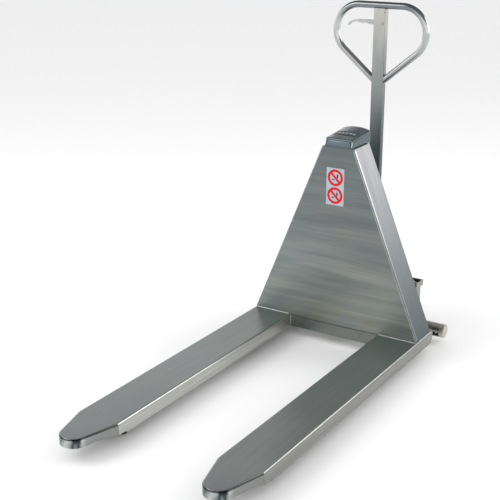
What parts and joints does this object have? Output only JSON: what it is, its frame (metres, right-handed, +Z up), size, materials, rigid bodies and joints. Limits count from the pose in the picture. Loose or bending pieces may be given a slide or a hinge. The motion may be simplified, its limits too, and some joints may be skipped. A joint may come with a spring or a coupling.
{
  "type": "pallet truck",
  "caption": "Stainless scissor high-lift pallet truck with two long forks, a tapering mast shroud, steered wheels and an upright pump handle with a closed hand loop.",
  "frame": {"origin": "middle of the footprint on the floor", "axes": "+Z up, forks point to -Y, handle at +Y, +X to the right seen from behind the handle's far side (from the fork tips looking at the mast)"},
  "size_m": [0.694, 1.5138, 1.2396],
  "materials": {
    "fork_steel": "brushed lengthwise",
    "panel_steel": "brushed across",
    "polished_steel": "satin polish",
    "frame_steel": "satin",
    "chrome_rod": "ground and polished",
    "cast_grey": "machined casting",
    "black_nylon": "matt",
    "dark_rubber": "matt",
    "label_film": "printed film"
  },
  "bodies": {
    "chassis": {"column_left": "frame_steel", "column_right": "frame_steel", "head_bolt_left": "chrome_rod", "head_bolt_right": "chrome_rod", "stub_bar_left": "frame_steel", "stub_bar_right": "frame_steel", "stub_bolt_left": "chrome_rod", "stub_bolt_right": "chrome_rod", "bridge_plate": "frame_steel", "ram_bracket": "frame_steel", "ram_barrel": "frame_steel", "oil_pipe": "chrome_rod", "chassis_pin_left": "chrome_rod", "chassis_pin_right": "chrome_rod"},
    "centre_arms": {"centre_arm_left": "frame_steel", "centre_arm_right": "frame_steel", "scissor_pin_left": "chrome_rod", "scissor_pin_right": "chrome_rod"},
    "outer_arms": {"inner_arm_left": "frame_steel", "outer_arm_left": "frame_steel", "inner_arm_right": "frame_steel", "outer_arm_right": "frame_steel"},
    "carriage": {"fork_left": "fork_steel", "fork_right": "fork_steel", "cross_beam": "fork_steel", "front_panel": "panel_steel", "side_panel_left": "panel_steel", "side_panel_right": "panel_steel", "head_block": "cast_grey", "mast_cap": "panel_steel", "cap_strip": "polished_steel", "label_plate": "label_film", "ram_plunger": "chrome_rod"},
    "ram_stage": {"ram_stage": "chrome_rod"},
    "leg_left": {"stabiliser_leg_left": "frame_steel"},
    "leg_right": {"stabiliser_leg_right": "frame_steel"},
    "load_roller_left_inner": {"load_roller_left_inner": "black_nylon"},
    "load_roller_left_outer": {"load_roller_left_outer": "black_nylon"},
    "load_roller_right_inner": {"load_roller_right_inner": "black_nylon"},
    "load_roller_right_outer": {"load_roller_right_outer": "black_nylon"},
    "runner_left": {"runner_left": "black_nylon"},
    "runner_right": {"runner_right": "black_nylon"},
    "steering": {"steer_yoke": "cast_grey", "wheel_axle": "chrome_rod", "pump_block": "cast_grey", "handle_pin": "chrome_rod", "pump_spring": "frame_steel"},
    "wheel_left": {"tyre_left": "dark_rubber", "wheel_hub_left": "cast_grey"},
    "wheel_right": {"tyre_right": "dark_rubber", "wheel_hub_right": "cast_grey"},
    "pump_plunger": {"pump_plunger": "chrome_rod"},
    "handle": {"handle_socket": "frame_steel", "handle_post": "frame_steel", "handle_loop": "polished_steel", "cam_roller": "cast_grey", "lever_pin": "cast_grey"},
    "release_lever": {"release_lever": "polished_steel"},
    "release_rod": {"release_rod": "chrome_rod"}
  },
  "joints": [
    {"name": "lift", "type": "hinge", "parent": "chassis", "child": "centre_arms", "pos_m": [0, 0.53815, 0.037], "axis": [-1, 0, 0], "range_deg": [0, 43]},
    {"name": "scissor_centre", "type": "hinge", "parent": "centre_arms", "child": "outer_arms", "pos_m": [0, 0.01065, 0.04665], "axis": [-1, 0, 0], "range_deg": [-86, 0]},
    {"name": "fork_pivot", "type": "hinge", "parent": "outer_arms", "child": "carriage", "pos_m": [0, 0.53815, 0.0563], "axis": [-1, 0, 0], "range_deg": [0, 43]},
    {"name": "ram_extension", "type": "slide", "parent": "chassis", "child": "ram_stage", "axis": [0, 0, 1], "range_m": [0, 0.36]},
    {"name": "stabiliser_left", "type": "slide", "parent": "chassis", "child": "leg_left", "axis": [0, 0, 1], "range_m": [-0.018, 0]},
    {"name": "stabiliser_right", "type": "slide", "parent": "chassis", "child": "leg_right", "axis": [0, 0, 1], "range_m": [-0.018, 0]},
    {"name": "load_roller_left_inner_spin", "type": "hinge", "parent": "outer_arms", "child": "load_roller_left_inner", "pos_m": [-0.232, -0.51685, 0.037], "axis": [1, 0, 0], "continuous": true},
    {"name": "load_roller_left_outer_spin", "type": "hinge", "parent": "outer_arms", "child": "load_roller_left_outer", "pos_m": [-0.29, -0.51685, 0.037], "axis": [1, 0, 0], "continuous": true},
    {"name": "runner_left_spin", "type": "hinge", "parent": "centre_arms", "child": "runner_left", "pos_m": [-0.261, -0.51685, 0.0563], "axis": [1, 0, 0], "continuous": true},
    {"name": "load_roller_right_inner_spin", "type": "hinge", "parent": "outer_arms", "child": "load_roller_right_inner", "pos_m": [0.232, -0.51685, 0.037], "axis": [1, 0, 0], "continuous": true},
    {"name": "load_roller_right_outer_spin", "type": "hinge", "parent": "outer_arms", "child": "load_roller_right_outer", "pos_m": [0.29, -0.51685, 0.037], "axis": [1, 0, 0], "continuous": true},
    {"name": "runner_right_spin", "type": "hinge", "parent": "centre_arms", "child": "runner_right", "pos_m": [0.261, -0.51685, 0.0563], "axis": [1, 0, 0], "continuous": true},
    {"name": "steer", "type": "hinge", "parent": "chassis", "child": "steering", "pos_m": [0, 0.67315, 0.2], "axis": [0, 0, 1], "range_deg": [-47, 47]},
    {"name": "wheel_left_spin", "type": "hinge", "parent": "steering", "child": "wheel_left", "pos_m": [-0.03025, 0.67315, 0.078], "axis": [1, 0, 0], "continuous": true},
    {"name": "wheel_right_spin", "type": "hinge", "parent": "steering", "child": "wheel_right", "pos_m": [0.03025, 0.67315, 0.078], "axis": [1, 0, 0], "continuous": true},
    {"name": "handle_tilt", "type": "hinge", "parent": "steering", "child": "handle", "pos_m": [0, 0.69515, 0.3], "axis": [-1, 0, 0], "range_deg": [0, 65], "stiffness_Nm_per_rad": 22, "springref_deg": -20.05},
    {"name": "pump_stroke", "type": "slide", "parent": "steering", "child": "pump_plunger", "axis": [0, 0, -1], "range_m": [0, 0.034], "deforming": ["pump_spring"]},
    {"name": "release_squeeze", "type": "hinge", "parent": "handle", "child": "release_lever", "pos_m": [0.0139, 0.74415, 1.1637], "axis": [0, 1, 0], "range_deg": [0, 12], "stiffness_Nm_per_rad": 1.2, "springref_deg": -14.32},
    {"name": "release_pull", "type": "slide", "parent": "handle", "child": "release_rod", "axis": [0, 0, 1], "range_m": [0, 0.0032]}
  ],
  "couplings": [
    {"joint": "scissor_centre", "follows": "lift", "ratio": -2},
    {"joint": "fork_pivot", "follows": "lift", "ratio": 1},
    {"joint": "ram_extension", "follows": "lift", "m_per_rad": 0.47569},
    {"joint": "stabiliser_left", "follows": "lift", "m_per_rad": -0.023318},
    {"joint": "stabiliser_right", "follows": "lift", "m_per_rad": -0.023318},
    {"joint": "pump_stroke", "follows": "handle_tilt", "m_per_rad": 0.0296},
    {"joint": "release_pull", "follows": "release_squeeze", "m_per_rad": 0.0145}
  ]
}
